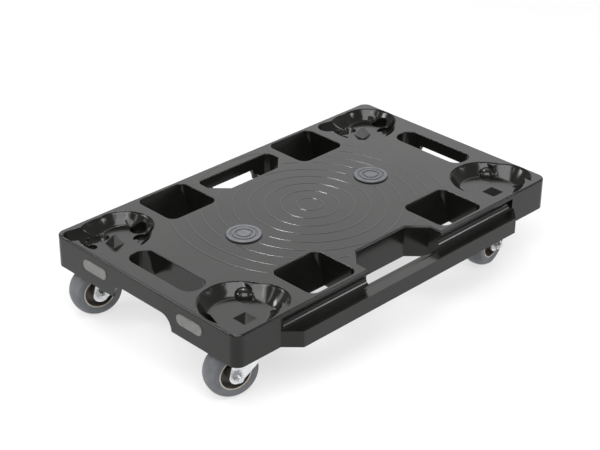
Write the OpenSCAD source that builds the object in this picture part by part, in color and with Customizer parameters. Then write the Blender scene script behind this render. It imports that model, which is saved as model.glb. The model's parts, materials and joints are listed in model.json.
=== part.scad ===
// Platform dolly: a ribbed plastic deck with corner cups, hand slots and a side
// coupling bar, standing on four swivel casters.
// Origin: on the floor, under the middle of the overall outline. +X runs along the
// deck's length, the coupling bar is on the -Y side, +Z is up.

/* [Deck] */
// Length of the deck along X
deck_length = 625; // [625:1:640]
// Width of the deck along Y, without the coupling bar
deck_width = 369; // [369:1:375]
// Depth of the side walls below the top face
deck_depth = 48; // [46:0.5:48.5]
// Height of the deck's top face above the floor
deck_height = 125; // [125:0.5:127]
// Radius of the deck's four vertical corners
deck_corner_radius = 14; // [8:1:18]
// Thickness of the top plate
top_thickness = 4.5; // [3.5:0.5:6]
// Thickness of the outer side walls
wall_thickness = 4; // [3.5:0.5:5]
// Thickness of the walls around the openings
opening_wall = 3.6; // [3.6:0.1:4.5]

/* [Ribs] */
// Thickness of the ribs under the deck
rib_thickness = 2.6; // [2:0.2:4]
// Distance from the top face to the ribs' lower edges
rib_depth = 36; // [30:1:42]
// Distance between the ribs that run across the deck
rib_pitch_x = 94; // [90:1:98]
// Distance between the ribs that run along the deck
rib_pitch_y = 78; // [76:1:80]

/* [Square openings] */
// Size of each square opening along X
square_length = 86; // [70:1:88]
// Size of each square opening along Y
square_width = 79; // [70:1:79]
// Corner radius of the square openings
square_radius = 13; // [6:1:16]
// Distance of the square openings' centres from the middle, along X
square_x = 130; // [126:1:132]
// Distance of the square openings' centres from the middle, along Y
square_y = 138; // [134:1:138]
// How far the openings' long walls lean inwards at the bottom
square_taper = 17.5; // [8:0.5:20]

/* [Hand slots] */
// Length of the hand slot in each end, along Y
hand_slot_length = 130; // [110:1:132]
// Width of the hand slot, along X
hand_slot_width = 38.5; // [34:0.5:39]
// Corner radius of the hand slot
hand_slot_radius = 16.5; // [10:0.5:16.5]
// Distance of the hand slots' centres from the middle
hand_slot_x = 267; // [264:1:268]
// Distance from the top face to the raised lower edge of the outer walls
grip_depth = 27; // [26:1:36]
// Half of the raised edge's flat length
grip_half_length = 40; // [34:1:44]
// Length over which the raised edge falls back to full depth
grip_ramp = 20; // [14:1:24]
// Distance from the top face to the lower edge of the slots' walls there
grip_inner_depth = 19; // [16:0.5:25]

/* [Side slot and notch] */
// Half of the side slot's and the side notch's length along X
side_slot_half = 71; // [60:1:72]
// Distance of the slot's and the notch's inner edges from the middle
side_slot_inner_y = 114; // [112:1:118]
// Distance of the notch's inner edge from the middle
notch_inner_y = 138.5; // [130:0.5:140]
// Distance of the side slot's outer edge from the middle
side_slot_outer_y = 161.5; // [150:0.5:163]
// Size of the corner chamfers of the slot and the notch
side_slot_chamfer = 24; // [12:1:26]

/* [Coupling bar] */
// How far the bar stands out from the deck's side
bar_reach = 21; // [15:1:24]
// Width of the bar where it bridges the notch
bar_width = 23; // [20:0.5:26]
// Distance from the top face to the bar's top
bar_drop = 24; // [22:0.5:26]
// Half of the bar's length at the deck's side
bar_half_length = 236; // [225:1:238]
// Radius of the hollow under the deck's edge, above the bar
cove_radius = 9.3; // [8.8:0.1:9.3]

/* [Corner cups] */
// Distance of the rear cups' centres from the middle, along X
cup_rear_x = 254; // [253:1:255]
// Distance of the front cups' centres from the middle, along X
cup_front_x = 245; // [243:1:245]
// Distance of the cups' centres from the middle, along Y
cup_y = 126; // [124:1:127]
// Radius of a cup at the top face
cup_radius = 55; // [50:0.5:55]
// Depth of the cups' flat floors
cup_depth = 16; // [12:1:17]
// Depth of the scoops and pits in the cups
pit_depth = 24; // [20:1:24.5]

/* [Pads and bumpers] */
// Diameter of the round grip pads on the deck
pad_diameter = 50; // [40:1:56]
// Distance of the grip pads' centres from the middle
pad_x = 128; // [124:1:132]
// How far the grip pads stand above the top face
pad_height = 2.5; // [1.5:0.5:4]
// Length of the bumpers in the end walls
bumper_length = 49; // [40:1:52]
// Height of the bumpers
bumper_width = 16.5; // [12:0.5:18]
// Distance of the bumpers' centres from the middle, along Y
bumper_y = 96; // [92:1:100]
// Distance from the top face down to the bumpers' centres
bumper_drop = 21; // [19:0.5:24]
// How far the bumpers stand out of the end walls
bumper_reach = 1.5; // [1:0.5:3]

/* [Casters] */
// Diameter of the wheels
wheel_diameter = 75; // [70:1:75]
// Width of the tyres
tyre_width = 32; // [26:1:32]
// Distance of the swivel axes from the middle, along X
caster_x = 250; // [248:1:252]
// Distance of the swivel axes from the middle, along Y
caster_y = 139.5; // [138:0.5:140]
// Distance from the swivel axis back to the wheel's axle
caster_trail = 27; // [24:0.5:28]
// Height of the casters, from the floor to the deck's underside
caster_height = 98; // [97:0.5:98]
// Diameter of the axle bolts
axle_diameter = 8; // [6:1:10]
// Number of balls in each swivel bearing
ball_count = 14; // [8:1:16]
// How far the casters at the rear are turned at rest, in degrees
rear_heading = -16; // [-180:1:180]
// How far the caster at the front right is turned at rest, in degrees
front_right_heading = 9; // [-180:1:180]
// How far the caster at the front left is turned at rest, in degrees
front_left_heading = 0; // [-180:1:180]

/* [Hidden] */
$fn = 64;
// Overlap that keeps two joined or cut surfaces from lying on each other
eps = 0.6;
// Clearance of a running fit, per side
running_gap = 0.08;
// Clearance of an insert in its pocket, per side
pocket_gap = 0.2;
// Straight pieces in each quarter turn of an outline's rounded corner
arc_steps = 8;

// Place of the axis of the hollow over the coupling bar
cove_offset = 4.3;
cove_drop = 15.1;
// The origin is under the middle of the deck and bar together
deck_shift_y = bar_reach / 2;
half_length = deck_length / 2;
half_width = deck_width / 2;

CORNERS = [
    ["rear_right", -1, -1, rear_heading],
    ["rear_left", -1, 1, rear_heading],
    ["front_right", 1, -1, front_right_heading],
    ["front_left", 1, 1, front_left_heading]
];
ENDS = [["rear", -1], ["front", 1]];
CUP_X = [-cup_rear_x, cup_front_x];
SIDES = [["right", -1], ["left", 1]];
CASTER_PARTS = [
    "mount_plate", "plate_screws", "kingpin", "swivel_balls", "fork",
    "axle_bolt", "axle_nut", "axle_sleeve", "wheel_hub", "tyre"
];

// ---- corner cups: positions are from a cup's centre ----
// Wall left around a hollow in the solid material under the cups
shell = 3.3;
SCOOP_CENTRE = [24, -12];
scoop_radius = 41;
scoop_step_x = 41;
LOBE_CENTRE = [22, 8];
lobe_radius = 43;
TROUGH_START = [-2, 25];
trough_angle = 167;
trough_length = 42;
trough_radius = 15.5;
// Each pit's X, Y, radius and how much shallower it is than the deepest
PITS = [[48, 8, 12, 0], [36, -15, 12.5, 1.5], [-29, 13, 7, 4]];

// ---- casters: sizes derived from the driving dimensions ----
plate_drop = deck_height - caster_height;
wheel_radius = wheel_diameter / 2;
axle_radius = axle_diameter / 2;
plate_thickness = 2.5;
plate_length = 60;
plate_width = 70;
plate_corner = 7;
plate_hole_x = 22;
plate_hole_y = 27;
screw_radius = 2.6;
screw_depth = 9;
screw_head_radius = 5.2;
fork_thickness = 2.5;
fork_gap = 36;
fork_half = fork_gap / 2 + fork_thickness;
fork_crown_z = wheel_diameter + 4;
race_radius = 19;
ball_radius = 3.1;
kingpin_radius = 6;
sleeve_radius = 6;
hub_radius = 24.5;
hub_half = 15;
leg_tip_radius = 11.5;
// Size of the hollow under the deck that the fork's crown turns in
well_length = 84;
well_width = 83;
well_corner = 18;
// Material round and above each screw, where a cup's hollow comes close to it
post_skin = 1.4;

// ---- points along a circular arc, corner by corner ----
function arc(cx, cy, r, a0, a1, steps = arc_steps) =
    [for (i = [0 : steps]) [cx + r * cos(a0 + (a1 - a0) * i / steps),
                            cy + r * sin(a0 + (a1 - a0) * i / steps)]];

function rounded_rect(lx, ly, r) = concat(
    arc(lx / 2 - r, ly / 2 - r, r, 0, 90),
    arc(-lx / 2 + r, ly / 2 - r, r, 90, 180),
    arc(-lx / 2 + r, -ly / 2 + r, r, 180, 270),
    arc(lx / 2 - r, -ly / 2 + r, r, 270, 360)
);

// Moves a shape drawn around the deck's top centre to its place in the frame
module at_deck() {
    translate([0, deck_shift_y, deck_height]) children();
}

// A prism of an outline between two depths below the top face
module between(top, bottom) {
    translate([0, 0, -bottom]) linear_extrude(bottom - top) children();
}

// ---- deck outlines; grow widens an outline into the wall around it ----
module deck_outline(grow = 0) {
    polygon(rounded_rect(deck_length + 2 * grow, deck_width + 2 * grow, deck_corner_radius + grow));
}

module square_openings(grow = 0) {
    for (sx = [-1, 1]) for (sy = [-1, 1])
        translate([sx * square_x, sy * square_y])
            polygon(rounded_rect(square_length + 2 * grow, square_width + 2 * grow, square_radius + grow));
}

// The square openings narrow downwards, between two leaning walls
module square_wells(top, grow = 0) {
    low = deck_depth + 2 * eps;
    lean = square_taper / deck_depth;
    half = square_width / 2 + grow;
    intersection() {
        between(top, low) square_openings(grow);
        for (sy = [-1, 1])
            translate([-half_length, sy * square_y, 0]) rotate([90, 0, 90]) linear_extrude(deck_length)
                polygon([
                    [-half + lean * top, -top], [half - lean * top, -top],
                    [half - lean * low, -low], [-half + lean * low, -low]
                ]);
    }
}

module hand_slots(grow = 0) {
    for (sx = [-1, 1])
        translate([sx * hand_slot_x, 0])
            polygon(rounded_rect(hand_slot_width + 2 * grow, hand_slot_length + 2 * grow, hand_slot_radius + grow));
}

// A growing outline keeps its wall even along the 45 degree chamfers
function chamfer_for(grow) = side_slot_chamfer + grow * (2 - sqrt(2));

module side_slot(grow = 0) {
    half = side_slot_half + grow;
    inner = side_slot_inner_y - grow;
    outer = side_slot_outer_y + grow;
    inner_chamfer = chamfer_for(grow);
    outer_chamfer = 6;
    polygon([
        [-half + inner_chamfer, inner], [half - inner_chamfer, inner],
        [half, inner + inner_chamfer], [half, outer - outer_chamfer],
        [half - outer_chamfer, outer], [-half + outer_chamfer, outer],
        [-half, outer - outer_chamfer], [-half, inner + inner_chamfer]
    ]);
}

module side_notch(grow = 0) {
    half = side_slot_half + 2 + grow;
    inner = -notch_inner_y + grow;
    chamfer = chamfer_for(grow);
    open_y = -half_width - (grow > 0 ? -2 : bar_reach);
    polygon([
        [-half, open_y], [half, open_y], [half, inner - chamfer],
        [half - chamfer, inner], [-half + chamfer, inner], [-half, inner - chamfer]
    ]);
}

module bar_outline() {
    outer_y = -half_width - bar_reach;
    inner_y = outer_y + bar_width;
    slant = bar_reach;
    polygon([
        [-bar_half_length, inner_y], [-bar_half_length, -half_width],
        [-bar_half_length + slant, outer_y], [bar_half_length - slant, outer_y],
        [bar_half_length, -half_width], [bar_half_length, inner_y]
    ]);
}

// ---- corner cups, drawn around a cup's centre at the top face ----
// A round bowl: a wall that curves from the rim down to a flat bottom
module bowl(r_rim, r_floor, depth, steps = 7) {
    wall = [for (i = [0 : steps]) [r_floor + (r_rim - r_floor) * cos(90 * i / steps),
                                   -depth * sin(90 * i / steps)]];
    rotate_extrude($fn = 96) polygon(concat([[0, 2], [r_rim, 2]], wall, [[0, -depth]]));
}

// A four-sided pyramid standing on its base
module pyramid(side, height) {
    rotate([0, 0, 45]) cylinder(h = height, r1 = side / sqrt(2), r2 = 0, $fn = 4);
}

// The hollow of a right-hand cup: a bowl with a deep scoop beyond a straight step
module scooped_cup() {
    dimple_side = 25;
    dimple_depth = 8;
    difference() {
        union() {
            bowl(cup_radius, cup_radius - 17, cup_depth);
            intersection() {
                translate(SCOOP_CENTRE) bowl(scoop_radius, 11, pit_depth + 2);
                translate([scoop_step_x, -60, -40]) cube([40, 120, 50]);
            }
            // four-sided dimple in the floor
            translate([0, -16, -cup_depth]) mirror([0, 0, 1]) translate([0, 0, -0.5]) pyramid(dimple_side, dimple_depth);
            // slot beside the rim
            translate([-37, 14, -pit_depth]) rotate([0, 0, 72]) translate([-13, -4.5, 0]) cube([26, 9, 20]);
        }
        // round boss against the back wall
        translate([37, 24, -cup_depth - 10]) boss();
    }
}

// Solid material around the hollow of a right-hand cup
module scooped_cup_backing() {
    backing(cup_radius, cup_depth);
    intersection() {
        translate(SCOOP_CENTRE) backing(scoop_radius, pit_depth + 2);
        translate([scoop_step_x - shell, -60, -40]) cube([60, 120, 50]);
    }
    translate([-37, 14, -pit_depth - shell]) rotate([0, 0, 72]) translate([-16, -7.5, 0]) cube([32, 15, pit_depth]);
}

// Solid material around a round hollow
module backing(r, depth) {
    between(2, depth + shell) circle(r = r + shell, $fn = 96);
}

// A round boss with a dished top
module boss() {
    rotate_extrude($fn = 48) polygon([[0, 0], [12, 0], [12, 16], [11, 18], [9, 18.6], [6.5, 17.6], [0, 16]]);
}

// The hollow of a left-hand cup: a bowl with a trough, pits, a pyramid and a spur
module spurred_cup() {
    difference() {
        union() {
            bowl(cup_radius - 4, cup_radius - 20, cup_depth);
            translate(LOBE_CENTRE) bowl(lobe_radius, lobe_radius - 12, cup_depth + 0.3);
            translate(TROUGH_START) rotate([0, 0, trough_angle]) trough(trough_length, trough_radius, pit_depth);
            for (pit = PITS)
                translate([pit[0], pit[1], pit[3] - pit_depth]) cylinder(h = 20, r = pit[2], $fn = 48);
        }
        translate([0, 0, -cup_depth - 1]) pyramid(22, cup_depth + 0.6);
        spur();
    }
}

// Solid material around the hollow of a left-hand cup
module spurred_cup_backing() {
    backing(cup_radius, cup_depth);
    translate(LOBE_CENTRE) backing(lobe_radius, cup_depth);
    translate(TROUGH_START) rotate([0, 0, trough_angle]) {
        backing(trough_radius, pit_depth);
        translate([trough_length, 0]) backing(trough_radius, pit_depth);
        between(2, pit_depth + shell) translate([0, -trough_radius - shell])
            square([trough_length, 2 * (trough_radius + shell)]);
    }
    for (pit = PITS) translate([pit[0], pit[1]]) backing(pit[2], pit_depth - pit[3]);
}

// A long trough with a round bottom edge, from the origin along +X
module trough(length, r, depth) {
    for (x = [0, length]) translate([x, 0, 0]) bowl(r, r - 9, depth);
    rotate([90, 0, 90]) linear_extrude(length) polygon(concat(
        [[-r, 2]],
        [for (i = [0 : 7]) [-(r - 9) - 9 * cos(90 * i / 7), -depth * sin(90 * i / 7)]],
        [for (i = [7 : -1 : 0]) [(r - 9) + 9 * cos(90 * i / 7), -depth * sin(90 * i / 7)]],
        [[r, 2]]
    ));
}

// A facet that hangs from the rim and tapers down towards the cup's middle
module spur() {
    polyhedron(
        points = [[50, 50, 0.7], [66, 30, 0.7], [45, 21, -cup_depth - 2], [76, 56, -cup_depth - 2]],
        faces = [[0, 1, 2], [0, 2, 3], [0, 3, 1], [1, 3, 2]]
    );
}

module cups() {
    difference() {
        for (x = CUP_X) {
            translate([x, -cup_y, 0]) scooped_cup();
            translate([x, cup_y, 0]) spurred_cup();
        }
        screw_posts();
    }
}

// Places a shape on the axis of every plate screw
module at_screws() {
    for (c = CORNERS) for (hx = [-1, 1]) for (hy = [-1, 1])
        translate([c[1] * caster_x + hx * plate_hole_x, c[2] * caster_y + hy * plate_hole_y, -plate_drop])
            children();
}

// Posts that keep each screw covered inside the deepest hollows
module screw_posts() {
    at_screws() translate([0, 0, -1])
        cylinder(h = screw_depth + post_skin + 1, r = screw_radius + post_skin, $fn = 32);
}

// Solid material under the cups, and the pads that the caster plates are screwed to
module cup_backing() {
    for (x = CUP_X) {
        translate([x, -cup_y]) scooped_cup_backing();
        translate([x, cup_y]) spurred_cup_backing();
    }
    for (c = CORNERS)
        translate([c[1] * caster_x, c[2] * caster_y]) between(2, plate_drop + 3)
            square([plate_length + 8, plate_width + 8], center = true);
}

// ---- ribs under the top plate ----
module ribs() {
    for (x = [-3 : 3])
        translate([x * rib_pitch_x, 0]) between(2, rib_depth) square([rib_thickness, deck_width - 4], center = true);
    for (y = [-1 : 1])
        translate([0, y * rib_pitch_y]) between(2, rib_depth) square([deck_length - 4, rib_thickness], center = true);
}

// The hollow that each caster turns in, below its plate's seat
module caster_wells() {
    for (c = CORNERS)
        translate([c[1] * caster_x, c[2] * caster_y]) between(plate_drop, deck_depth + eps)
            polygon(rounded_rect(well_length, well_width, well_corner));
}

module screw_holes() {
    at_screws() translate([0, 0, -eps]) cylinder(h = screw_depth + eps, r = screw_radius, $fn = 32);
}

// A cut from below, with a round shoulder at each side, drawn across a wall
module arch(depth, half, ramp) {
    low = deck_depth + 5;
    rise = deck_depth + eps - depth;
    shoulder = [for (i = [0 : arc_steps]) [half + ramp * cos(90 * i / arc_steps),
                                           -deck_depth - eps + rise * sin(90 * i / arc_steps)]];
    mirrored = [for (i = [arc_steps : -1 : 0]) [-shoulder[i][0], shoulder[i][1]]];
    polygon(concat([[half + ramp, -low]], shoulder, mirrored, [[-half - ramp, -low]]));
}

// The raised lower edge of a wall and of the slot's wall behind it, for a wall in front
// of +X: the cuts run from the slot's middle, out through the wall
module grip_cut(slot_middle, wall_inner) {
    past_the_wall = 80;
    inner_ramp = 3;
    translate([slot_middle, 0, 0]) rotate([90, 0, 90]) {
        linear_extrude(past_the_wall) arch(grip_depth, grip_half_length, grip_ramp);
        linear_extrude(wall_inner - slot_middle) arch(grip_inner_depth, grip_half_length, inner_ramp);
    }
}

module grip_cuts() {
    for (turn = [0, 180]) rotate([0, 0, turn]) grip_cut(hand_slot_x, half_length - wall_thickness);
    rotate([0, 0, 90]) grip_cut(side_slot_outer_y - 1, half_width - wall_thickness);
}

// A stadium outline for the bumpers and their pockets
module stadium(length, width) {
    polygon(concat(
        arc((length - width) / 2, 0, width / 2, -90, 90, 12),
        arc(-(length - width) / 2, 0, width / 2, 90, 270, 12)
    ));
}

// Places a shape on an end wall, drawn in the wall's plane and growing outwards
module on_end(sx, sy) {
    translate([sx * half_length, sy * bumper_y, -bumper_drop])
        rotate([0, 0, sx > 0 ? 0 : 180]) rotate([90, 0, 90]) children();
}

module deck() {
    color([0.13, 0.13, 0.125]) at_deck() difference() {
        union() {
            difference() {
                between(0, deck_depth) deck_outline();
                between(top_thickness, deck_depth + eps) deck_outline(-wall_thickness);
            }
            intersection() {
                between(1, deck_depth + eps) deck_outline(-1.5);
                union() {
                    square_wells(2, opening_wall);
                    between(2, deck_depth) hand_slots(opening_wall);
                    between(2, deck_depth) side_slot(opening_wall);
                    between(2, deck_depth) side_notch(opening_wall);
                    ribs();
                    cup_backing();
                    // thicker wall behind the bumper pockets
                    for (sx = [-1, 1]) for (sy = [-1, 1])
                        on_end(sx, sy) translate([0, 0, -7]) linear_extrude(6) stadium(bumper_length + 4, bumper_width + 4);
                    // behind the hollow over the coupling bar
                    translate([0, -half_width + 8]) between(2, deck_depth) square([2 * bar_half_length + 6, 12], center = true);
                }
            }
            between(bar_drop, deck_depth) bar_outline();
        }
        difference() {
            between(-1, deck_depth + eps) side_notch();
            between(bar_drop, deck_depth + 2 * eps) bar_outline();
        }
        square_wells(-1);
        between(-1, deck_depth + eps) hand_slots();
        between(-1, deck_depth + eps) side_slot();
        cups();
        caster_wells();
        screw_holes();
        grip_cuts();
        // hollow under the deck's edge, over the bar
        translate([-bar_half_length + 4, -half_width - cove_offset, -cove_drop]) rotate([0, 90, 0])
            cylinder(h = 2 * bar_half_length - 8, r = cove_radius, $fn = 64);
        // pockets for the grip pads and the bumpers
        for (sx = [-1, 1])
            translate([sx * pad_x, 0]) between(-1, 1.5) circle(d = pad_diameter + 2 * pocket_gap, $fn = 96);
        for (sx = [-1, 1]) for (sy = [-1, 1])
            on_end(sx, sy) translate([0, 0, -2.5]) linear_extrude(5)
                stadium(bumper_length + 2 * pocket_gap, bumper_width + 2 * pocket_gap);
    }
}

// A round pad with a raised rim, two rings and a centre button
module grip_pad(sx) {
    r = pad_diameter / 2;
    h = pad_height;
    low = pad_height - 1;
    color([0.6, 0.62, 0.66]) at_deck() translate([sx * pad_x, 0, 0]) rotate_extrude($fn = 96) polygon([
        [0, -1.5], [r, -1.5], [r, h - 0.8], [r - 0.8, h], [r - 5, h], [r - 6, low],
        [r - 8.5, low], [r - 9, h], [r - 12, h], [r - 12.5, low],
        [r - 15.5, low], [r - 16, h], [0, h]
    ]);
}

// A rubber strip in the end wall
module bumper(sx, sy) {
    color([0.5, 0.5, 0.5]) at_deck() on_end(sx, sy) translate([0, 0, -2.5]) {
        linear_extrude(2.5 + bumper_reach - 0.6) stadium(bumper_length, bumper_width);
        linear_extrude(2.5 + bumper_reach) stadium(bumper_length - 1.2, bumper_width - 1.2);
    }
}

// ---- casters, drawn around the swivel axis with the wheel trailing towards -X ----
module at_caster(c) {
    translate([c[1] * caster_x, c[2] * caster_y + deck_shift_y, 0]) rotate([0, 0, c[3]]) children();
}

// The plate and its screws stay square to the deck while the caster turns
module at_plate(c) {
    translate([c[1] * caster_x, c[2] * caster_y + deck_shift_y, 0]) children();
}

// A shape drawn around the wheel's axle, along Z, laid across the caster
module at_axle() {
    translate([-caster_trail, 0, wheel_radius]) rotate([90, 0, 0]) children();
}

module mount_plate(c) {
    top = caster_height;
    color([0.8, 0.81, 0.83]) at_plate(c) difference() {
        union() {
            translate([0, 0, top - plate_thickness]) linear_extrude(plate_thickness)
                polygon(rounded_rect(plate_length, plate_width, plate_corner));
            // pressed upper race
            rotate_extrude() polygon([
                [kingpin_radius - 1, top - plate_thickness + 0.5], [25, top - plate_thickness + 0.5],
                [24, top - 6.5], [22, top - 7.5], [12, top - 7.5], [kingpin_radius - 1, top - 4.5]
            ]);
        }
        translate([0, 0, top - 10]) cylinder(h = 20, r = kingpin_radius);
        for (hx = [-1, 1]) for (hy = [-1, 1])
            translate([hx * plate_hole_x, hy * plate_hole_y, top - 10]) cylinder(h = 20, r = screw_radius + 0.4, $fn = 32);
        translate([0, 0, top - 7.5]) rotate_extrude() translate([race_radius, 0]) circle(r = ball_radius + 0.15, $fn = 32);
    }
}

module plate_screws(c) {
    under = caster_height - plate_thickness;
    color([0.75, 0.76, 0.78]) at_plate(c) for (hx = [-1, 1]) for (hy = [-1, 1])
        translate([hx * plate_hole_x, hy * plate_hole_y, 0]) {
            translate([0, 0, under - eps]) cylinder(h = plate_thickness + screw_depth, r = screw_radius - 0.05, $fn = 32);
            translate([0, 0, under - 4]) cylinder(h = 4, r = screw_head_radius, $fn = 6);
        }
}

// The rivet that the fork turns on, held in the plate
module kingpin(c) {
    color([0.7, 0.71, 0.73]) at_plate(c) {
        translate([0, 0, fork_crown_z - 1]) cylinder(h = caster_height - fork_crown_z + 1, r = kingpin_radius);
        translate([0, 0, fork_crown_z - 3.4]) cylinder(h = 3, r = 10);
        translate([0, 0, fork_crown_z - 4.4]) cylinder(h = 2, r = 7);
    }
}

module swivel_balls(c) {
    color([0.85, 0.86, 0.88]) at_caster(c) for (i = [0 : ball_count - 1])
        rotate([0, 0, i * 360 / ball_count]) translate([race_radius, 0, caster_height - 7.5])
            sphere(r = ball_radius, $fn = 24);
}

// One leg's outline in the X-Z plane: round at the axle, straight up at the back,
// leaning forward at the front
module leg_outline() {
    axle = [-caster_trail, wheel_radius];
    polygon(concat(
        arc(axle[0], axle[1], leg_tip_radius, 176, 322, 12),
        [[14, 59], [19, 66], [20, fork_crown_z + fork_thickness], [-27, fork_crown_z + fork_thickness], [-33, 60]]
    ));
}

module fork(c) {
    lower_race_z = fork_crown_z + fork_thickness;
    race_top = caster_height - 7.9;
    color([0.86, 0.87, 0.89]) at_caster(c) difference() {
        union() {
            for (side = [-1, 1])
                translate([0, side * (fork_half - fork_thickness / 2) + fork_thickness / 2, 0])
                    rotate([90, 0, 0]) linear_extrude(fork_thickness) leg_outline();
            translate([-27, -fork_half + 0.5, fork_crown_z]) cube([46.5, 2 * fork_half - 1, fork_thickness - 0.2]);
            // pressed lower race around the kingpin
            rotate_extrude() polygon([
                [kingpin_radius - 1, lower_race_z - 1.5], [24.5, lower_race_z - 1.5], [25, race_top - 3],
                [23.5, race_top], [kingpin_radius + 5, race_top], [kingpin_radius - 1, race_top - 2]
            ]);
        }
        translate([0, 0, fork_crown_z - 5]) cylinder(h = 30, r = kingpin_radius + running_gap);
        at_axle() translate([0, 0, -40]) cylinder(h = 80, r = axle_radius);
        translate([0, 0, caster_height - 7.5]) rotate_extrude() translate([race_radius, 0]) circle(r = ball_radius, $fn = 32);
    }
}

// Hexagon bolt with its head on the left of the wheel
module axle_bolt(c) {
    color([0.78, 0.79, 0.81]) at_caster(c) at_axle() {
        translate([0, 0, -fork_half - 1]) cylinder(h = 2 * fork_half + 11, r = axle_radius);
        translate([0, 0, -fork_half - 5.5]) cylinder(h = 5.5, r = 7.4, $fn = 6);
    }
}

// Flanged lock nut with a domed collar
module axle_nut(c) {
    color([0.82, 0.83, 0.85]) at_caster(c) at_axle() translate([0, 0, fork_half]) difference() {
        union() {
            cylinder(h = 1.6, r = 8.6);
            cylinder(h = 6.2, r = 7.3, $fn = 6);
            cylinder(h = 8, r = 5.6);
        }
        translate([0, 0, -1]) cylinder(h = 12, r = axle_radius);
    }
}

// Steel tube that the fork clamps and the wheel turns on
module axle_sleeve(c) {
    color([0.7, 0.71, 0.73]) at_caster(c) at_axle() difference() {
        translate([0, 0, -fork_gap / 2]) cylinder(h = fork_gap, r = sleeve_radius);
        translate([0, 0, -30]) cylinder(h = 60, r = axle_radius);
    }
}

// Moulded wheel centre: a rim and a thin web around a long boss
module wheel_hub(c) {
    color([0.2, 0.185, 0.17]) at_caster(c) at_axle() difference() {
        rotate_extrude($fn = 96) polygon([
            [sleeve_radius - 1, -fork_gap / 2 + 0.6], [9.5, -fork_gap / 2 + 0.6], [10.5, -hub_half + 1],
            [11, -4], [20.5, -4], [21.2, -hub_half], [hub_radius - 1, -hub_half], [hub_radius, -8],
            [hub_radius, 8], [hub_radius - 1, hub_half], [21.2, hub_half], [20.5, 4], [11, 4],
            [10.5, hub_half - 1], [9.5, fork_gap / 2 - 0.6], [sleeve_radius - 1, fork_gap / 2 - 0.6]
        ]);
        translate([0, 0, -30]) cylinder(h = 60, r = sleeve_radius + running_gap);
    }
}

// Solid elastic tyre with a crowned tread and round shoulders
module tyre(c) {
    half = tyre_width / 2;
    r = wheel_radius;
    tread = [for (i = [-6 : 6]) [r - 3.2 * pow(abs(i) / 6, 2.6), i * (half - 3) / 6]];
    color([0.45, 0.47, 0.5]) at_caster(c) at_axle() rotate_extrude($fn = 96) polygon(concat(
        [[hub_radius - 1, -hub_half], [r - 9, -half], [r - 5, -half + 0.4]],
        tread,
        [[r - 5, half - 0.4], [r - 9, half], [hub_radius - 1, hub_half], [hub_radius, 8], [hub_radius, -8]]
    ));
}

deck();
for (e = ENDS) grip_pad(e[1]);
for (e = ENDS) for (s = SIDES)
    bumper(e[1], s[1]);
for (c = CORNERS) {
    mount_plate(c);
    plate_screws(c);
    kingpin(c);
    swivel_balls(c);
    fork(c);
    axle_bolt(c);
    axle_nut(c);
    axle_sleeve(c);
    wheel_hub(c);
    tyre(c);
}
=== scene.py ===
"""Looks for the platform dolly: a moulded black deck, grey pads and bumpers, zinc casters."""

import json
import math

import bmesh
import bpy
from mathutils import Matrix, Vector
from mathutils.geometry import delaunay_2d_cdt


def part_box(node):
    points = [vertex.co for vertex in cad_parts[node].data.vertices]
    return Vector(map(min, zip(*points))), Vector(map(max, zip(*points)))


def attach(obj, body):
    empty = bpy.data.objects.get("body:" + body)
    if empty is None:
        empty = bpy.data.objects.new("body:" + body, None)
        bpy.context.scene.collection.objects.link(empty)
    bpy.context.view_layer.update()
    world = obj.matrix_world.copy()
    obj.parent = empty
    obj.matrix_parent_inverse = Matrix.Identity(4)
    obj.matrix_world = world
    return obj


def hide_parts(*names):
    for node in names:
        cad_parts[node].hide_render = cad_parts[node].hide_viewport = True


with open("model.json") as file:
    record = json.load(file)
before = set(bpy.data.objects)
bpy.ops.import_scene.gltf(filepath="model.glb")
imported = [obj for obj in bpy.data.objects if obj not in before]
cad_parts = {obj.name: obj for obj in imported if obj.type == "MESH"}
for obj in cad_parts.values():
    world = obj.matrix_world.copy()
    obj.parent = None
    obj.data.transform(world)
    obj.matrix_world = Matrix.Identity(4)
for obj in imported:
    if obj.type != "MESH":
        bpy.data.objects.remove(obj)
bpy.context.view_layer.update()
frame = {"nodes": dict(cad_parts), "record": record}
NODES = frame["nodes"]
CORNERS = ("rear_right", "rear_left", "front_right", "front_left")
MM = 0.001

# ---- places taken from the frame ----
DECK_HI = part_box("deck")[1]
DECK_TOP = DECK_HI.z
PAD_LO, PAD_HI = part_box("rear_grip_pad")
PAD_RADIUS = (PAD_HI.x - PAD_LO.x) / 2
# the coupling bar widens the deck on one side only, so the pads give its middle
DECK_MID = Vector((0, (PAD_LO.y + PAD_HI.y) / 2))


def plate_middle(corner):
    """The middle of a caster's mount plate, seen from above."""
    low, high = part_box(corner + "_mount_plate")
    return (low.xy + high.xy) / 2


PLATE_MIDDLES = [plate_middle(corner) for corner in CORNERS]


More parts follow.
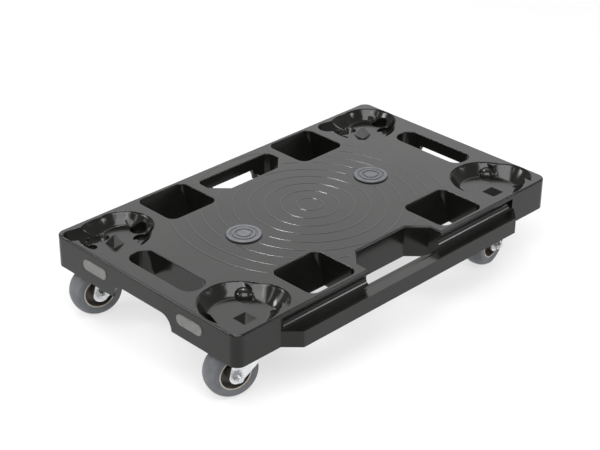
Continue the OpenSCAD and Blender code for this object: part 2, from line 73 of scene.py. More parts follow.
# ---- procedural materials ----
class Shader:
    """One material, with a short call for each thing that its nodes do."""

    def __init__(self, name, **surface):
        self.material = bpy.data.materials.new(name)
        self.material.use_nodes = True
        self.tree = self.material.node_tree
        self.tree.nodes.clear()
        out = self.tree.nodes.new("ShaderNodeOutputMaterial")
        self.surface = self.node("ShaderNodeBsdfPrincipled", **surface)
        self.link(self.surface, "BSDF", out, "Surface")

    def node(self, kind, **inputs):
        """A new node with the named inputs set; an underscore stands for a space."""
        made = self.tree.nodes.new(kind)
        for key, value in inputs.items():
            made.inputs[key.replace("_", " ")].default_value = value
        return made

    def link(self, a, out, b, into):
        self.tree.links.new(a.outputs[out], b.inputs[into])

    def noise(self, scale, detail=4.0, roughness=0.5):
        """A cloudy pattern with about this many clouds to a metre."""
        made = self.node("ShaderNodeTexNoise", Scale=scale, Detail=detail, Roughness=roughness)
        self.link(self.node("ShaderNodeTexCoord"), "Object", made, "Vector")
        return made

    def ramp(self, source, out, stops):
        """Turns a value into a colour or a grey, from two stops: (place, colour)."""
        made = self.node("ShaderNodeValToRGB")
        for element, (place, colour) in zip(made.color_ramp.elements, stops):
            element.position = place
            element.color = (*colour, 1) if isinstance(colour, tuple) else (colour, colour, colour, 1)
        self.link(source, out, made, "Fac")
        return made

    def tone(self, pattern, low, high, start=0.3, end=0.7):
        """A colour that runs from low to high with a noise pattern."""
        return self.ramp(pattern, "Fac", [(start, low), (end, high)])

    def colour(self, tone):
        self.link(tone, "Color", self.surface, "Base Color")

    def roughness(self, pattern, low, high):
        self.link(self.tone(pattern, low, high), "Color", self.surface, "Roughness")

    def bump(self, *layers):
        """Unevenness from one or more layers: (noise, strength, depth in metres)."""
        last = None
        for pattern, strength, depth in layers:
            made = self.node("ShaderNodeBump", Strength=strength, Distance=depth)
            self.link(pattern, "Fac", made, "Height")
            if last:
                self.link(last, "Normal", made, "Normal")
            last = made
        self.link(last, "Normal", self.surface, "Normal")

    def cavity_shaded_colour(self, tone, reach):
        """A base colour darkened in grooves, where the surface is closed in: painted shade."""
        closed_in = self.node("ShaderNodeAmbientOcclusion", Distance=reach)
        closed_in.samples = 8
        painted_shade = self.ramp(closed_in, "AO", SHADE_STOPS)
        mixed = self.tree.nodes.new("ShaderNodeVectorMath")
        mixed.operation = "MULTIPLY"
        self.link(tone, "Color", mixed, 0)
        self.link(painted_shade, "Color", mixed, 1)
        self.link(mixed, "Vector", self.surface, "Base Color")


GRAIN_DEPTH = 0.1 * MM
WAVE_DEPTH = 0.6 * MM
# how far round a spot the painted shade in grooves looks for closing surfaces
SHADE_REACH = 5 * MM
# painted shade in grooves: how open a spot is, and the share of its colour that is left there
SHADE_STOPS = ((0.6, 0.12), (0.97, 1.0))


def moulded_plastic():
    """Black polypropylene: fine spark grain, slight waves, smears that dull the gloss."""
    s = Shader("moulded_black_plastic", IOR=1.45, Specular_IOR_Level=0.4)
    blotches = s.noise(9.0, detail=3.0)
    s.colour(s.tone(blotches, (0.0032, 0.0032, 0.0027), (0.0062, 0.0062, 0.0054)))
    s.roughness(s.noise(28.0, detail=6.0, roughness=0.6), 0.13, 0.20)
    grain = s.noise(2600.0, detail=2.0)
    waves = s.noise(35.0, detail=2.0)
    s.bump((grain, 0.03, GRAIN_DEPTH), (waves, 0.04, WAVE_DEPTH))
    return s.material


def pad_rubber():
    s = Shader("grey_pad_rubber", IOR=1.5)
    dirt = s.noise(120.0, detail=5.0)
    # painted shade in the pads' grooves, darker where closed in, over a tone that varies at random
    s.cavity_shaded_colour(s.tone(dirt, (0.066, 0.070, 0.078), (0.092, 0.096, 0.105)), SHADE_REACH)
    s.roughness(s.noise(300.0), 0.5, 0.62)
    s.bump((s.noise(1800.0, detail=3.0), 0.25, GRAIN_DEPTH))
    return s.material


def bumper_rubber():
    s = Shader("grey_bumper_rubber")
    s.colour(s.tone(s.noise(90.0, detail=6.0), (0.118, 0.118, 0.114), (0.16, 0.16, 0.155)))
    s.roughness(s.noise(260.0), 0.45, 0.58)
    s.bump((s.noise(2200.0, detail=3.0), 0.3, GRAIN_DEPTH))
    return s.material


def zinc(name, tone_low, tone_high, rough_low, rough_high):
    """Bright zinc plate over pressed steel: cloudy colour, brushed unevenness."""
    s = Shader(name, Metallic=1.0)
    clouds = s.noise(60.0, detail=5.0, roughness=0.6)
    s.colour(s.tone(clouds, tone_low, tone_high, start=0.25, end=0.75))
    s.roughness(s.noise(180.0, detail=4.0), rough_low, rough_high)
    s.bump((s.noise(900.0, detail=4.0), 0.12, GRAIN_DEPTH))
    return s.material


def tyre_elastomer():
    s = Shader("grey_tyre_elastomer", IOR=1.5)
    dirt = s.noise(70.0, detail=6.0, roughness=0.6)
    s.colour(s.tone(dirt, (0.078, 0.082, 0.089), (0.112, 0.116, 0.125)))
    s.roughness(s.noise(220.0), 0.42, 0.56)
    s.bump((s.noise(1500.0, detail=3.0), 0.2, GRAIN_DEPTH))
    return s.material


def hub_plastic():
    s = Shader("brown_hub_plastic")
    s.colour(s.tone(s.noise(110.0, detail=5.0), (0.048, 0.041, 0.032), (0.08, 0.070, 0.055)))
    s.roughness(s.noise(200.0), 0.38, 0.52)
    s.bump((s.noise(1500.0, detail=3.0), 0.2, GRAIN_DEPTH))
    return s.material


def pale_rim():
    """The bonding ring between hub and tyre, paler than both."""
    s = Shader("pale_rim")
    s.colour(s.tone(s.noise(140.0, detail=5.0), (0.30, 0.28, 0.25), (0.42, 0.40, 0.36)))
    s.roughness(s.noise(240.0), 0.34, 0.46)
    s.bump((s.noise(1500.0, detail=3.0), 0.2, GRAIN_DEPTH))
    return s.material


MATERIALS = {
    "deck_plastic": moulded_plastic(),
    "pad_rubber": pad_rubber(),
    "bumper_rubber": bumper_rubber(),
    "zinc_steel": zinc("zinc_plate", (0.60, 0.61, 0.62), (0.78, 0.79, 0.80), 0.24, 0.38),
    "bolt_steel": zinc("bolt_zinc", (0.55, 0.56, 0.57), (0.72, 0.73, 0.74), 0.22, 0.34),
    "ball_steel": zinc("ball_steel", (0.60, 0.60, 0.61), (0.70, 0.70, 0.71), 0.08, 0.14),
    "hub_plastic": hub_plastic(),
    "pale_rim": pale_rim(),
    "tyre_elastomer": tyre_elastomer(),
}
# the material of a CAD node, by the end of its name
SLOT_OF = (
    ("deck", "deck_plastic"), ("grip_pad", "pad_rubber"), ("bumper", "bumper_rubber"),
    ("mount_plate", "zinc_steel"), ("plate_screws", "bolt_steel"), ("kingpin", "bolt_steel"),
    ("swivel_balls", "ball_steel"), ("fork", "zinc_steel"), ("axle_bolt", "bolt_steel"),
    ("axle_nut", "bolt_steel"), ("axle_sleeve", "bolt_steel"), ("wheel_hub", "hub_plastic"),
    ("tyre", "tyre_elastomer"),
)


def slot_for(node):
    return next(slot for ending, slot in SLOT_OF if node.endswith(ending))


def dress(obj, slot):
    obj.data.materials.clear()
    obj.data.materials.append(MATERIALS[slot])


# ---- mesh helpers ----
def scene_object(name, mesh):
    """A new object in the scene from a bmesh, which is used up."""
    data = bpy.data.meshes.new(name)
    mesh.to_mesh(data)
    mesh.free()
    made = bpy.data.objects.new(name, data)
    bpy.context.scene.collection.objects.link(made)
    return made


def new_piece(name, mesh, slot, body, *stands_for):
    piece = scene_object(name, mesh)
    # normals carried over from a CAD mesh don't fit the new faces
    if "custom_normal" in piece.data.attributes:
        piece.data.attributes.remove(piece.data.attributes["custom_normal"])
    dress(piece, slot)
    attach(piece, body)
    if stands_for:
        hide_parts(*stands_for)
    return piece


def smooth(piece, angle):
    """Smooth shading, but for edges sharper than an angle in degrees."""
    for polygon in piece.data.polygons:
        polygon.use_smooth = True
    piece.data.set_sharp_from_angle(angle=math.radians(angle))
    shade = piece.modifiers.new("flat_faces_stay_flat", "WEIGHTED_NORMAL")
    shade.keep_sharp = True


def circle_turns(steps):
    """Angles in equal steps round a whole circle, ending where it starts."""
    return [math.tau * i / steps for i in range(steps + 1)]


# ---- closed lines seen from above ----
def area_of(run):
    """The area inside a loop of vertices, positive where it runs anticlockwise."""
    pairs = zip(run, run[1:] + run[:1])
    return sum(a.co.x * b.co.y - b.co.x * a.co.y for a, b in pairs) / 2


def inset(points, distance):
    """A closed line of 2-D points moved to its left, kept even round its corners."""
    moved = []
    for i, point in enumerate(points):
        before = (point - points[i - 1]).normalized()
        after = (points[(i + 1) % len(points)] - point).normalized()
        normal = Vector((-before.y - after.y, before.x + after.x))
        moved.append(point + normal * distance / max(normal.length_squared / 2, 0.5))
    return moved


def inside(point, line):
    """Whether a 2-D point is inside a closed line."""
    x, y = point
    hit = False
    for a, b in zip(line, line[1:] + line[:1]):
        if (a.y > y) != (b.y > y) and x < (b.x - a.x) * (y - a.y) / (b.y - a.y) + a.x:
            hit = not hit
    return hit


# ---- the deck's top face ----
# how far each kind of edge is rounded
EDGE_ROUND = {"outer": 2.4 * MM, "opening": 1.1 * MM, "cup": 0.8 * MM, "pocket": 0.4 * MM}
# a narrow straight band on both sides of a rounded edge
EDGE_GUARD = 0.35 * MM
EDGE_STEPS = 4
# a pad's pocket is little wider than the pad
POCKET_LIMIT = 2.2 * PAD_RADIUS
# how near to its caster's middle a cup's middle is
CUP_NEAR = 20 * MM
# points closer than this, in metres, are one point
WELD = 1e-6
PLANE_WELD = 1e-8
# a face this nearly upward and this near to the top is part of the top
UPWARD = 0.999
LEVEL = 0.01 * MM
# faces closer in angle than this are one flat face
FLAT_ANGLE = math.radians(0.3)


def rim_loops(mesh):
    """Closed runs of open edges as lists of vertices, with the top face on their left."""
    loops = []
    for edge in mesh.edges:
        edge.tag = edge.is_boundary
    for edge in mesh.edges:
        if not edge.tag:
            continue
        edge.tag = False
        run = list(edge.verts)
        while True:
            onward = next((e for e in run[-1].link_edges if e.tag), None)
            if onward is None:
                break
            onward.tag = False
            run.append(onward.other_vert(run[-1]))
        loops.append(run[:-1])
    loops.sort(key=lambda run: -abs(area_of(run)))
    for i, run in enumerate(loops):
        if (area_of(run) > 0) != (i == 0):
            run.reverse()
    return loops


def kind_of(run):
    """Which edge of the deck a rim loop is, from its size and place."""
    xs = [v.co.x for v in run]
    ys = [v.co.y for v in run]
    width, depth = max(xs) - min(xs), max(ys) - min(ys)
    if width > DECK_HI.x:
        return "outer"
    if width < POCKET_LIMIT and abs(width - depth) < MM:
        return "pocket"
    middle = Vector(((max(xs) + min(xs)) / 2, (max(ys) + min(ys)) / 2))
    near_cup = any((middle - plate).length < CUP_NEAR for plate in PLATE_MIDDLES)
    return "cup" if near_cup else "opening"


def rounded_rim(mesh, run, radius):
    """Rounds one edge of the top face, and returns the loop that the flat part starts at."""
    points = [v.co.xy for v in run]
    for vert in run:
        vert.co.z = DECK_TOP - radius - EDGE_GUARD
    stops = [(0, -radius)]
    for step in range(1, EDGE_STEPS + 1):
        turn = math.radians(90 * step / EDGE_STEPS)
        stops.append((radius * (1 - math.cos(turn)), -radius * (1 - math.sin(turn))))
    stops.append((radius + EDGE_GUARD, 0))
    last = run
    for distance, drop in stops:
        line = inset(points, distance)
        ring = [mesh.verts.new((p.x, p.y, DECK_TOP + drop)) for p in line]
        for i in range(len(ring)):
            mesh.faces.new((last[i - 1], last[i], ring[i], ring[i - 1]))
        last = ring
    return last


def fill_top(mesh, rims):
    """The flat part of the top face, between all its rims."""
    verts = [v for rim in rims for v in rim]
    lines = [[v.co.xy for v in rim] for rim in rims]
    edges = []
    start = 0
    for rim in rims:
        edges += [(start + i, start + (i + 1) % len(rim)) for i in range(len(rim))]
        start += len(rim)
    flat = [v.co.xy for v in verts]
    made = delaunay_2d_cdt(flat, edges, [], 0, PLANE_WELD)
    points, triangles, origins = made[0], made[2], made[3]
    corners = []
    for point, origin in zip(points, origins):
        corners.append(verts[origin[0]] if origin else mesh.verts.new((*point, DECK_TOP)))
    for triangle in triangles:
        middle = sum((points[i] for i in triangle), Vector((0, 0))) / 3
        if sum(inside(middle, line) for line in lines) == 1:
            mesh.faces.new([corners[i] for i in triangle])


# ---- the relief in the corner cups, in millimetres from a cup's centre and the deck's top ----
CUP_DEPTH = 16.0
PIT_DEPTH = 24.0
# the power that the hollows' walls curve by
WALL_CURVE = 1.4

# a right-hand cup; radii are at the top of a hollow's wall and at its foot
RIGHT_CUP_REACH = 55.0
RIGHT_BOWL = (55.0, 38.0)
# past this x and below this y, the bowl runs straight on to the step
BOWL_STRAIGHT_X = 30.0
BOWL_STRAIGHT_Y = 12.0
SCOOP = (24.0, -12.0)
SCOOP_RADII = (41.0, 18.0)
STEP_X = 40.5
STEP_ENDS = (-50.0, 13.0)
STEP_RIDGE = 1.0
STEP_SLOPE = 1.2
BOSS = (36.0, 29.0)
BOSS_RADIUS = 13.5
BOSS_FOOT = 15.0
BOSS_RISE = 9.0
DIMPLE = (-2.5, -13.5)
DIMPLE_HALF = 11.0
DIMPLE_DEPTH = 9.0
SLOT = (-37.0, 14.0)
SLOT_HALF = (13.0, 4.5)
SLOT_TURN = math.radians(72)

# a left-hand cup
LEFT_CUP_REACH = 65.0
LEFT_BOWL = (51.0, 35.0)
LOBE = (22.0, 8.0)
LOBE_RADII = (43.0, 30.0)
TROUGH = ((-2.0, 25.0), (-43.0, 34.4))
TROUGH_RADII = (15.5, 4.0)
# each pit's place, radius and depth
PITS = ((48.0, 8.0, 11.5, 24.0), (36.0, -15.0, 12.0, 21.0), (-29.0, 13.0, 6.5, 20.0))
PYRAMID_HALF = 9.5
PYRAMID_RISE = CUP_DEPTH - 0.5
SPUR_TIP = (45.0, 21.0)
SPUR_SIDES = ((50.0, 50.0), (66.0, 30.0))
SPUR_DROP = 1.2
SPUR_SIDE_SLOPE = 3.0

# the plate screws' holes, from a plate's middle, and the posts that keep them closed
PLATE_HOLES = ((22.0, 27.0), (-22.0, 27.0), (-22.0, -27.0), (22.0, -27.0))
POST_RADIUS = 4.0
POST_TOP = 16.6

# the mesh has a grid of nearly equal-sided triangles, over more than a cup's width
GRID = 1.3
GRID_ROW = GRID * 0.866
GRID_HALF = 70.0
RELIEF_WELD = 1e-4
# it has extra lines along each crease, at these distances out from the crease
STEP_CREASES = (-STEP_RIDGE, -0.1, 0.1)
BOSS_CREASES = (-1.0, -0.1, 0.3)
SLOT_CREASES = (-0.1, 0.5)
PIT_CREASES = (-0.1, 0.4)
ROUND_STEPS = 48
POST_STEPS = 20
# its edge lies this far in from the cup's rim and this far below it
EDGE_IN = 0.5
EDGE_DROP = 0.3
# its other points keep further in than its edge
POINTS_IN = 1.0
# no face of a CAD cup reaches lower than this
CAD_CUP_END = PIT_DEPTH + 2.1


def hollow(distance, radii, depth):
    """The height in a round hollow whose wall curves down from its rim to a flat floor."""
    rim, floor = radii
    across = min(max((distance - floor) / (rim - floor), 0.0), 1.0)
    return -depth * (1 - across ** WALL_CURVE)


def four_sided(x, y, half, height):
    """The height of a pyramid above its base."""
    return height * (1 - max(abs(x), abs(y)) / half)


def right_cup(x, y):
    """The height in a bowl with a step down to a deep scoop, a boss, a dimple and a slot."""
    bowl_x = min(x, BOWL_STRAIGHT_X) if y < BOWL_STRAIGHT_Y else x
    z = hollow(math.hypot(bowl_x, y), RIGHT_BOWL, CUP_DEPTH)
    if x > STEP_X:
        z = hollow(math.dist((x, y), SCOOP), SCOOP_RADII, PIT_DEPTH)
    z -= max(four_sided(x - DIMPLE[0], y - DIMPLE[1], DIMPLE_HALF, DIMPLE_DEPTH), 0.0)
    dx, dy = x - SLOT[0], y - SLOT[1]
    along = dx * math.cos(SLOT_TURN) + dy * math.sin(SLOT_TURN)
    across = dy * math.cos(SLOT_TURN) - dx * math.sin(SLOT_TURN)
    if abs(along) < SLOT_HALF[0] and abs(across) < SLOT_HALF[1]:
        z = -PIT_DEPTH
    if STEP_X - STEP_RIDGE < x < STEP_X and y < STEP_ENDS[1]:
        z = max(z, -CUP_DEPTH + STEP_SLOPE * (x - STEP_X + STEP_RIDGE))
    boss = math.dist((x, y), BOSS)
    if boss < BOSS_RADIUS:
        z = max(z, -BOSS_FOOT + BOSS_RISE * math.sqrt(1 - (boss / BOSS_RADIUS) ** 2))
    return z


def left_of(x, y, a, b):
    """The distance of a point to the left of the line from a to b."""
    return ((b[0] - a[0]) * (y - a[1]) - (b[1] - a[1]) * (x - a[0])) / math.dist(a, b)


def left_cup(x, y):
    """The height in a bowl with a lobe, a trough, three pits, a pyramid and a hanging spur."""
    z = hollow(math.hypot(x, y), LEFT_BOWL, CUP_DEPTH)
    z = min(z, hollow(math.dist((x, y), LOBE), LOBE_RADII, CUP_DEPTH))
    (x0, y0), (x1, y1) = TROUGH
    share = ((x - x0) * (x1 - x0) + (y - y0) * (y1 - y0)) / ((x1 - x0) ** 2 + (y1 - y0) ** 2)
    share = min(max(share, 0.0), 1.0)
    off = math.hypot(x - x0 - share * (x1 - x0), y - y0 - share * (y1 - y0))
    if off < TROUGH_RADII[0]:
        z = min(z, hollow(off, TROUGH_RADII, PIT_DEPTH))
    for px, py, radius, depth in PITS:
        if math.dist((x, y), (px, py)) < radius:
            z = min(z, -depth)
    if max(abs(x), abs(y)) < PYRAMID_HALF:
        z = max(z, -CUP_DEPTH + four_sided(x, y, PYRAMID_HALF, PYRAMID_RISE))
    sides = min(left_of(x, y, SPUR_SIDES[0], SPUR_TIP), left_of(x, y, SPUR_TIP, SPUR_SIDES[1]))
    reach = left_of(*SPUR_TIP, SPUR_SIDES[1], SPUR_SIDES[0])
    rise = left_of(x, y, SPUR_SIDES[1], SPUR_SIDES[0]) / reach
    return max(z, -SPUR_DROP - CUP_DEPTH * max(rise, 0.0) + min(sides, 0.0) * SPUR_SIDE_SLOPE)


def ring_line(x, y, radius, steps=ROUND_STEPS):
    return [(x + radius * math.cos(t), y + radius * math.sin(t)) for t in circle_turns(steps)]


def box_line(x, y, half_x, half_y, turn=0.0):
    """A closed line round a rectangle that is turned about its middle."""
    cos, sin = math.cos(turn), math.sin(turn)
    corners = [(half_x * a, half_y * b) for a, b in ((1, 1), (-1, 1), (-1, -1), (1, -1), (1, 1))]
    return [(x + a * cos - b * sin, y + a * sin + b * cos) for a, b in corners]


def pyramid_lines(x, y, half):
    """The foot of a pyramid and its four ridges."""
    foot = box_line(x, y, half, half)
    return [foot] + [[(x, y), corner] for corner in foot[:4]]


def crease_lines(right, posts):
    """Lines along the sharp edges of a cup's relief, each as a list of points."""
    if right:
        lines = pyramid_lines(*DIMPLE, DIMPLE_HALF)
        lines += [[(STEP_X + shift, end) for end in STEP_ENDS] for shift in STEP_CREASES]
        lines += [ring_line(*BOSS, BOSS_RADIUS + shift) for shift in BOSS_CREASES]
        for shift in SLOT_CREASES:
            lines.append(box_line(*SLOT, SLOT_HALF[0] + shift, SLOT_HALF[1] + shift, SLOT_TURN))
        return lines
    lines = pyramid_lines(0, 0, PYRAMID_HALF)
    for x, y, radius, depth in PITS:
        lines += [ring_line(x, y, radius + shift) for shift in PIT_CREASES]
    lines += [[SPUR_TIP, side] for side in SPUR_SIDES]
    for x, y in posts:
        lines += [ring_line(x, y, POST_RADIUS + shift, POST_STEPS) for shift in PIT_CREASES]
    return lines


def relief_points(right, posts, outline):
    """Points and edges of a cup's relief inside its outline."""
    points, edges = [], []
    for line in crease_lines(right, posts):
        for a, b in zip(line, line[1:]):
            steps = max(round(math.dist(a, b) / GRID), 1)
            row = [(a[0] + (b[0] - a[0]) * i / steps, a[1] + (b[1] - a[1]) * i / steps)
                   for i in range(steps + 1)]
            kept = [p for p in row if inside(p, outline)]
            edges += [(len(points) + i, len(points) + i + 1) for i in range(len(kept) - 1)]
            points += kept
    taken = {(round(x / GRID), round(y / GRID)) for x, y in points}
    for j in range(round(2 * GRID_HALF / GRID_ROW)):
        y = -GRID_HALF + j * GRID_ROW
        for i in range(round(2 * GRID_HALF / GRID)):
            x = -GRID_HALF + (i + j % 2 / 2) * GRID
            if (round(x / GRID), round(y / GRID)) not in taken and inside((x, y), outline):
                points.append((x, y))
    return points, edges


def cup_relief(mesh, rim):
    """Fills one cup's mouth with its relief, from the low edge of its rim."""
    xs = [v.co.x for v in rim]
    ys = [v.co.y for v in rim]
    right = sum(ys) / len(ys) < DECK_MID.y
    middle_x = min(xs) + RIGHT_CUP_REACH * MM if right else max(xs) - LEFT_CUP_REACH * MM
    middle = Vector((middle_x, (min(ys) + max(ys)) / 2))
    shape = right_cup if right else left_cup
    lip = rim[0].co.z - DECK_TOP
    plate = min(PLATE_MIDDLES, key=lambda spot: (spot - middle).length)
    posts = [(plate + Vector(hole) * MM - middle) / MM for hole in PLATE_HOLES]

    def height(x, y):
        z = shape(x, y)
        if any(math.dist((x, y), post) < POST_RADIUS for post in posts):
            z = max(z, -POST_TOP)
        return DECK_TOP + min(z * MM, lip - EDGE_DROP * MM)

    mouth = [(v.co.xy - middle) / MM for v in rim]
    foot = inset(mouth, -EDGE_IN)
    points, edges = relief_points(right, posts, inset(mouth, -POINTS_IN))
    start = len(points)
    count = len(foot)
    edges += [(start + i, start + (i + 1) % count) for i in range(count)]
    made = delaunay_2d_cdt([Vector(p) for p in points] + foot, edges, [], 0, RELIEF_WELD)
    flat, triangles, origins = made[0], made[2], made[3]
    verts = [mesh.verts.new((middle.x + x * MM, middle.y + y * MM, height(x, y))) for x, y in flat]
    for triangle in triangles:
        centre = sum((flat[i] for i in triangle), Vector((0, 0))) / 3
        if inside(centre, foot):
            mesh.faces.new([verts[i] for i in triangle])
    new_of = {old: vert for vert, olds in zip(verts, origins) for old in olds}
    low = [new_of[start + i] for i in range(count)]
    for i in range(count):
        # two corners of the rim may share a low one, which then counts once
        band = dict.fromkeys((rim[i - 1], low[i - 1], low[i], rim[i]))
        mesh.faces.new(list(band))


def drop_cup_faces(mesh, vert):
    """Removes a CAD cup's faces: all that a vertex of its rim leads to across shared edges."""
    todo = list(vert.link_faces)
    found = set(todo)
    lowest = DECK_TOP - CAD_CUP_END * MM
    while todo:
        for edge in todo.pop().edges:
            fresh = [f for f in edge.link_faces if f not in found]
            fresh = [f for f in fresh if min(v.co.z for v in f.verts) > lowest]
            found.update(fresh)
            todo += fresh
    ordered = [f for f in mesh.faces if f in found]
    bmesh.ops.delete(mesh, geom=ordered, context="FACES_ONLY")


def on_top(face):
    """Whether a face is part of the deck's flat top."""
    return face.normal.z > UPWARD and min(v.co.z for v in face.verts) > DECK_TOP - LEVEL


def deck_piece():
    """The CAD deck with the edges of its top face rounded and relief in its cups."""
    mesh = bmesh.new()
    mesh.from_mesh(NODES["deck"].data)
    bmesh.ops.remove_doubles(mesh, verts=mesh.verts, dist=WELD)
    top = [f for f in mesh.faces if on_top(f)]
    bmesh.ops.delete(mesh, geom=top, context="FACES_ONLY")
    loops = rim_loops(mesh)
    kinds = [kind_of(run) for run in loops]
    for run, kind in zip(loops, kinds):
        if kind == "cup":
            drop_cup_faces(mesh, run[0])
    bmesh.ops.dissolve_limit(mesh, angle_limit=FLAT_ANGLE, verts=mesh.verts, edges=mesh.edges)
    rims = []
    for run, kind in zip(loops, kinds):
        rims.append(rounded_rim(mesh, run, EDGE_ROUND[kind]))
        if kind == "cup":
            cup_relief(mesh, run)
    outlines = [[v.co.xy.copy() for v in rim] for rim in rims]
    fill_top(mesh, rims)
    loose = [v for v in mesh.verts if not v.link_faces]
    bmesh.ops.delete(mesh, geom=loose, context="VERTS")
    bmesh.ops.recalc_face_normals(mesh, faces=mesh.faces)
    smooth(new_piece("deck_shell", mesh, "deck_plastic", "deck", "deck"), angle=25)
    return outlines


# ---- the tread rings ----
RING_FIRST = 18.7 * MM
RING_STEP = 22.9 * MM
RING_COUNT = 9
# a ring runs in steps of about this length, and a stretch of fewer turns than this is left out
RING_STRIDE = 3 * MM
RING_LEAST = 4
RING_CLEARANCE = 3 * MM
# across a ridge: each side is steep, then gentle, and they meet in a narrow flat
RING_FOOT = -0.05
RING_PROFILE = ((1.5, RING_FOOT), (0.8, 0.17), (0.15, 0.295),
                (-0.15, 0.295), (-0.8, 0.17), (-1.5, RING_FOOT))


def clear_of_edges(spot, outlines):
    """Whether a spot on the top face is away from every opening, cup and pad."""
    around = [spot] + [spot + Vector((x, y)) * RING_CLEARANCE for x in (-1, 1) for y in (-1, 1)]
    return all(sum(inside(place, line) for line in outlines) == 1 for place in around)


def ridge(mesh, radius, turns):
    """A low ridge along part of a circle, sunk at both its ends."""
    if len(turns) < RING_LEAST:
        return
    rows = []
    for turn in turns:
        at_end = turn in (turns[0], turns[-1])
        row = []
        for across, height in RING_PROFILE:
            reach = radius + across * MM
            rise = (RING_FOOT if at_end else height) * MM
            row.append(mesh.verts.new((DECK_MID.x + reach * math.cos(turn),
                                       DECK_MID.y + reach * math.sin(turn), DECK_TOP + rise)))
        rows.append(row)
    for near, far in zip(rows, rows[1:]):
        for k in range(len(near)):
            mesh.faces.new((near[k - 1], far[k - 1], far[k], near[k]))


def tread_rings(outlines):
    """Thin raised rings round the deck's middle, broken by whatever is in the way."""
    mesh = bmesh.new()
    for number in range(RING_COUNT):
        radius = RING_FIRST + number * RING_STEP
        run = []
        for turn in circle_turns(round(math.tau * radius / RING_STRIDE)):
            spot = DECK_MID + radius * Vector((math.cos(turn), math.sin(turn)))
            if clear_of_edges(spot, outlines):
                run.append(turn)
            else:
                ridge(mesh, radius, run)
                run = []
        ridge(mesh, radius, run)
    bmesh.ops.recalc_face_normals(mesh, faces=mesh.faces)
    smooth(new_piece("tread_rings", mesh, "deck_plastic", "deck"), angle=10)


# ---- the casters ----
RIM_INNER = 21.3 * MM
RIM_OUTER = 23.4 * MM
RIM_PROUD = 0.35 * MM
RIM_STEPS = 72
# across a ring, from its middle in half widths, and out from the hub in shares of RIM_PROUD
RIM_PROFILE = ((-1, -0.3), (-0.6, 0.7), (0, 1), (0.6, 0.7), (1, -0.3))
# half the width of a wheel's hub at its rim
HUB_HALF = 15.0 * MM


def wheel_axle(corner):
    """The direction of a wheel's axle, from the joint that it rolls on."""
    joints = frame["record"]["behaviour"]["joints"]
    return Vector(next(j["axis"] for j in joints if j["name"] == corner + "_roll")).normalized()


def rim_rings(corner):
    """The pale ring round each side of a wheel's hub, where the tyre is bonded to it."""
    lo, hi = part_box(corner + "_wheel_hub")
    middle = (lo + hi) / 2
    axle = wheel_axle(corner)
    ahead = axle.cross(Vector((0, 0, 1)))
    half_ring = (RIM_OUTER - RIM_INNER) / 2
    mesh = bmesh.new()
    for side in (-1, 1):
        rows = []
        for turn in circle_turns(RIM_STEPS)[:-1]:
            row = []
            for across, out in RIM_PROFILE:
                reach = (RIM_INNER + RIM_OUTER) / 2 + across * half_ring
                spot = middle + axle * side * (HUB_HALF + out * RIM_PROUD)
                spot = spot + ahead * reach * math.cos(turn)
                row.append(mesh.verts.new((spot.x, spot.y, spot.z + reach * math.sin(turn))))
            rows.append(row)
        for i, row in enumerate(rows):
            for k in range(len(row)):
                mesh.faces.new((rows[i - 1][k - 1], row[k - 1], row[k], rows[i - 1][k]))
    bmesh.ops.recalc_face_normals(mesh, faces=mesh.faces)
    piece = new_piece(corner + "_rim_rings", mesh, "hub_plastic", corner + "_wheel")
    dress(piece, "pale_rim")
    smooth(piece, angle=40)


# ---- the floor, the lights and the camera ----
FLOOR_HALF = 12.0
# the way to the bright wall behind the object, which the deck's top reflects
BACKDROP = Vector((0.60, 0.60, 0.53))
WORLD_STOPS = ((0.84, 0.25), (0.94, 1.0))
WORLD_STRENGTH = 1.65
# all lights look at the middle of the object
MIDDLE = Vector((0, 0, 0.1))
# each light's name, place, width and height in metres, and power in watts
LIGHTS = (
    ("softbox", (-0.85, -0.85, 2.1), 2.0, 2.0, 76),
    ("edge_light", (-1.6, 1.6, 1.6), 0.7, 0.3, 12),
    ("glint", (0.75, 1.25, 2.0), 0.25, 0.25, 8),
    ("far_left", (-1.68, 1.87, 1.5), 0.6, 1.2, 7),
    ("far_right", (1.6, -1.78, 1.08), 0.7, 0.6, 13),
)
# narrow upright lights on the camera's side, for thin glints in the cups
STRIP_TURNS = (170, 207, 262)
STRIP_REACH = 2.1
STRIP_Z = 1.6
STRIP_WIDTH, STRIP_HEIGHT = 0.2, 1.2
STRIP_POWER = 4


def floor():
    """A floor lit from below like a light table, so that the shadows on it stay pale."""
    mesh = bmesh.new()
    bmesh.ops.create_grid(mesh, x_segments=2, y_segments=2, size=FLOOR_HALF)
    made = scene_object("floor", mesh)
    s = Shader("white_floor", Base_Color=(0.25, 0.25, 0.25, 1), Emission_Color=(1, 1, 1, 1),
               Emission_Strength=0.65, Roughness=0.9, Specular_IOR_Level=0.1)
    made.data.materials.append(s.material)


def backdrop():
    """An even grey all round, brighter behind the object."""
    world = bpy.data.worlds.new("studio")
    bpy.context.scene.world = world
    world.use_nodes = True
    tree = world.node_tree
    coords = tree.nodes.new("ShaderNodeTexCoord")
    toward = tree.nodes.new("ShaderNodeVectorMath")
    toward.operation = "DOT_PRODUCT"
    toward.inputs[1].default_value = BACKDROP
    tree.links.new(coords.outputs["Generated"], toward.inputs[0])
    ramp = tree.nodes.new("ShaderNodeValToRGB")
    ramp.color_ramp.interpolation = "EASE"
    for element, (place, value) in zip(ramp.color_ramp.elements, WORLD_STOPS):
        element.position = place
        element.color = (value, value, value, 1)
    tree.links.new(toward.outputs["Value"], ramp.inputs["Fac"])
    background = tree.nodes["Background"]
    tree.links.new(ramp.outputs["Color"], background.inputs["Color"])
    background.inputs["Strength"].default_value = WORLD_STRENGTH


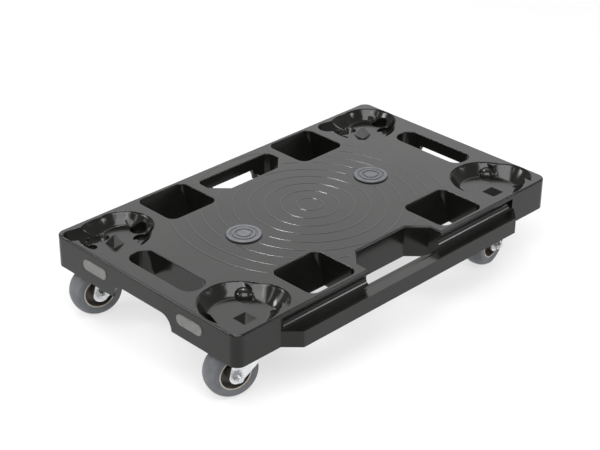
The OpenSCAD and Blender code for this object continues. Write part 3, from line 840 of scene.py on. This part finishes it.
def area_light(name, place, width, height, power):
    data = bpy.data.lights.new(name, "AREA")
    data.energy = power
    data.shape = "RECTANGLE"
    data.size = width
    data.size_y = height
    light = bpy.data.objects.new(name, data)
    bpy.context.scene.collection.objects.link(light)
    light.location = place
    light.rotation_mode = "QUATERNION"
    light.rotation_quaternion = (MIDDLE - Vector(place)).to_track_quat("-Z", "Y")


def lights():
    for light in LIGHTS:
        area_light(*light)
    for number, degrees in enumerate(STRIP_TURNS):
        turn = math.radians(degrees)
        place = (STRIP_REACH * math.cos(turn), STRIP_REACH * math.sin(turn), STRIP_Z)
        area_light(f"strip_{number}", place, STRIP_WIDTH, STRIP_HEIGHT, STRIP_POWER)


# where the camera stands, seen from what it looks at, and how it is tilted
CAMERA_AZIMUTH = math.radians(-45.049)
CAMERA_ELEVATION = math.radians(28.977)
CAMERA_ROLL = math.radians(0.525)
CAMERA_TARGET = Vector((-0.0534, -0.0240, 0.125))
CAMERA_DISTANCE = 2.1604
CAMERA_SENSOR = 36
CAMERA_LENS = 93.11


def camera():
    """A long lens, off the rear right corner and above the deck."""
    level = Vector((math.sin(CAMERA_AZIMUTH), -math.cos(CAMERA_AZIMUTH), 0))
    back = level * math.cos(CAMERA_ELEVATION) + Vector((0, 0, math.sin(CAMERA_ELEVATION)))
    right = Vector((math.cos(CAMERA_AZIMUTH), math.sin(CAMERA_AZIMUTH), 0))
    up = back.cross(right)
    rolled_right = math.cos(CAMERA_ROLL) * right + math.sin(CAMERA_ROLL) * up
    rolled_up = -math.sin(CAMERA_ROLL) * right + math.cos(CAMERA_ROLL) * up
    data = bpy.data.cameras.new("camera")
    data.sensor_width = CAMERA_SENSOR
    data.lens = CAMERA_LENS
    cam = bpy.data.objects.new("camera", data)
    bpy.context.scene.collection.objects.link(cam)
    cam.location = CAMERA_TARGET + back * CAMERA_DISTANCE
    cam.rotation_mode = "QUATERNION"
    cam.rotation_quaternion = Matrix((rolled_right, rolled_up, back)).transposed().to_quaternion()
    bpy.context.scene.camera = cam


# ---- the scene ----
for name, obj in NODES.items():
    dress(obj, slot_for(name))
tread_rings(deck_piece())
for corner in CORNERS:
    rim_rings(corner)
floor()
backdrop()
lights()
camera()
bpy.context.scene.view_settings.view_transform = "Standard"
